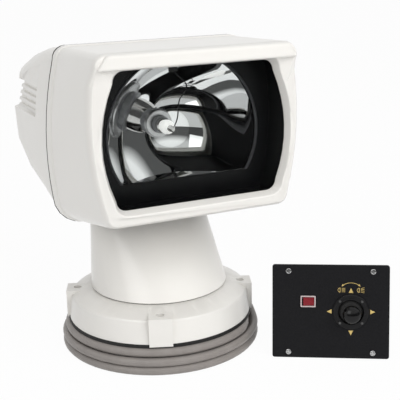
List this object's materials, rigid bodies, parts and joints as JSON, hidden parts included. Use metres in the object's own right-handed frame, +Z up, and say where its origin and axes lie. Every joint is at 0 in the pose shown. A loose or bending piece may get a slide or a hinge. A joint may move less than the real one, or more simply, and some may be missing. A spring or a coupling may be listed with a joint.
{
  "type": "marine searchlight",
  "caption": "Remote-controlled marine searchlight: ribbed boxy white lamp head that pans and tilts on a tapered neck and round base standing on its cable coil, with a joystick panel.",
  "frame": {"origin": "on the pan axis, in the plane of the floor on which the cable coil lies", "axes": "+Z up along the pan axis, -Y the way the lamp looks, +X to the lamp's left as it looks ahead"},
  "size_m": [0.3167, 0.3194, 0.322],
  "materials": {
    "shell_white": "glossy warm white moulding",
    "gasket_black": "matte black rubber",
    "front_glass": "clear flat glass",
    "mask_black": "matte black moulding",
    "reflector_chrome": "vacuum-coated mirror",
    "steel": "bright stainless steel",
    "cast_alloy": "plain cast alloy",
    "gear_brass": "cut brass",
    "motor_grey": "painted grey steel",
    "socket_white": "white ceramic-look moulding",
    "bulb_glass": "clear quartz glass",
    "cable_grey": "satin warm grey jacket",
    "plug_black": "satin black moulding",
    "panel_black": "fine-textured black paint",
    "box_grey": "dark moulded box",
    "switch_pale": "pale moulded frame",
    "switch_red": "clear red moulding"
  },
  "bodies": {
    "base": {"base_skirt": "shell_white", "base_gasket": "gasket_black", "base_screws": "steel", "pan_post": "cast_alloy", "thrust_washer": "gear_brass", "post_collar": "steel", "neck_seal": "gasket_black", "pan_motor": "motor_grey", "cable_gland": "plug_black", "cable_lead": "cable_grey", "cable_coil": "cable_grey", "cable_tail": "cable_grey", "cable_plug": "plug_black", "plug_pins": "gear_brass", "panel_plate": "panel_black", "control_box": "box_grey", "panel_screws": "steel", "panel_socket": "plug_black", "switch_frame": "switch_pale", "joystick_flange": "plug_black", "flange_screws": "steel", "joystick_cup": "plug_black"},
    "column": {"neck": "shell_white", "neck_hub": "cast_alloy", "hub_screws": "steel", "pan_gear": "gear_brass", "yoke": "cast_alloy", "tilt_bushes": "gear_brass", "tilt_motor": "motor_grey"},
    "pan_pinion": {"pan_pinion": "gear_brass"},
    "head": {"front_casing": "shell_white", "seam_gasket_ring": "gasket_black", "rear_housing": "shell_white", "front_glass": "front_glass", "mask_shroud": "mask_black", "mask_plate": "mask_black", "reflector": "reflector_chrome", "socket_ring": "reflector_chrome", "lamp_frame": "cast_alloy", "frame_posts": "steel", "focus_bracket": "cast_alloy", "focus_motor": "motor_grey", "tilt_bracket": "cast_alloy", "trunnion_pins": "steel", "tilt_sector": "gear_brass"},
    "tilt_pinion": {"tilt_pinion": "gear_brass"},
    "lamp": {"bulb_carriage": "socket_white", "bulb": "bulb_glass"},
    "focus_screw": {"focus_screw": "steel"},
    "rocker": {"switch_rocker": "switch_red"},
    "gimbal": {"gimbal_ring": "steel"},
    "stick": {"joystick_stick": "steel", "joystick_boot": "gasket_black"},
    "knob": {"joystick_knob": "plug_black"}
  },
  "joints": [
    {"name": "pan", "type": "hinge", "parent": "base", "child": "column", "pos_m": [0, 0, 0.1], "axis": [0, 0, 1], "range_deg": [-180, 180]},
    {"name": "pan_pinion_spin", "type": "hinge", "parent": "base", "child": "pan_pinion", "pos_m": [0, 0.045, 0.063], "axis": [0, 0, 1], "range_deg": [-720, 720]},
    {"name": "tilt", "type": "hinge", "parent": "column", "child": "head", "pos_m": [0, 0.038, 0.198], "axis": [1, 0, 0], "range_deg": [-15, 15]},
    {"name": "tilt_pinion_spin", "type": "hinge", "parent": "column", "child": "tilt_pinion", "pos_m": [0.045, 0.038, 0.168], "axis": [1, 0, 0], "range_deg": [-45, 45]},
    {"name": "focus", "type": "slide", "parent": "head", "child": "lamp", "axis": [0, -1, 0], "range_m": [-0.003, 0.003]},
    {"name": "focus_screw_spin", "type": "hinge", "parent": "head", "child": "focus_screw", "pos_m": [0, 0.02, 0.224], "axis": [0, 1, 0], "range_deg": [-270, 270]},
    {"name": "power_switch", "type": "hinge", "parent": "base", "child": "rocker", "pos_m": [0.11641, -0.11783, 0.05733], "axis": [0.0968, 0.1644, 0.9816], "range_deg": [-14, 0]},
    {"name": "stick_up_down", "type": "hinge", "parent": "base", "child": "gimbal", "pos_m": [0.15464, -0.13805, 0.04655], "axis": [0.8616, -0.5075, 0], "range_deg": [-14, 14], "stiffness_Nm_per_rad": 0.25},
    {"name": "stick_left_right", "type": "hinge", "parent": "gimbal", "child": "stick", "pos_m": [0.15464, -0.13805, 0.04655], "axis": [0.0968, 0.1644, 0.9816], "range_deg": [-14, 14], "stiffness_Nm_per_rad": 0.25},
    {"name": "focus_twist", "type": "hinge", "parent": "stick", "child": "knob", "pos_m": [0.14467, -0.15496, 0.05037], "axis": [-0.4982, -0.8458, 0.1908], "range_deg": [-25, 25], "stiffness_Nm_per_rad": 0.04}
  ],
  "couplings": [
    {"joint": "pan_pinion_spin", "follows": "pan", "ratio": -4},
    {"joint": "tilt_pinion_spin", "follows": "tilt", "ratio": -3},
    {"joint": "focus_screw_spin", "follows": "focus", "rad_per_m": 1570.8}
  ]
}
